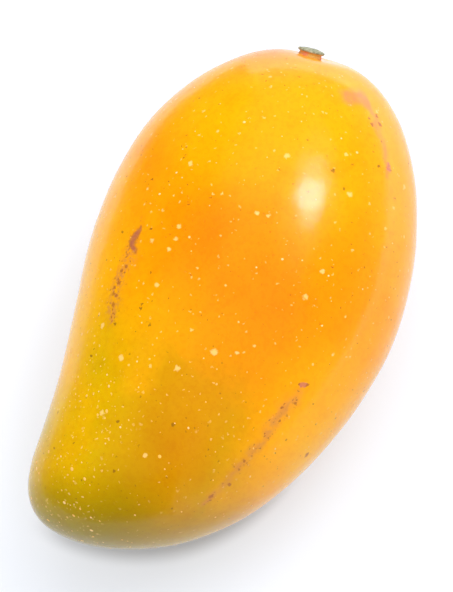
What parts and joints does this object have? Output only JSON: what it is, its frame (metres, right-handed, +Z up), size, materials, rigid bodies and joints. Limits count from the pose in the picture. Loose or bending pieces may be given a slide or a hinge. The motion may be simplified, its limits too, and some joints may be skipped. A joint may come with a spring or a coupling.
{
  "type": "mango",
  "caption": "Whole ripe mango: a slender fruit bent towards its blunt beak, with the short button of its cut stalk at the far end, lying on its cheek.",
  "frame": {"origin": "middle of the bounding box, on the surface that the mango rests on", "axes": "+X along the fruit towards the stalk, +Y towards the side that the beak bends to, +Z up"},
  "size_m": [0.1278, 0.0798, 0.0655],
  "materials": {
    "mango_skin": "waxy fruit skin with a satin sheen, yellow to orange, olive towards the beak, with pale pores and a few brown scars",
    "dry_stalk": "dry, greenish grey, matt"
  },
  "bodies": {
    "root": {"fruit": "mango_skin", "stem_stub": "dry_stalk"}
  },
  "joints": []
}
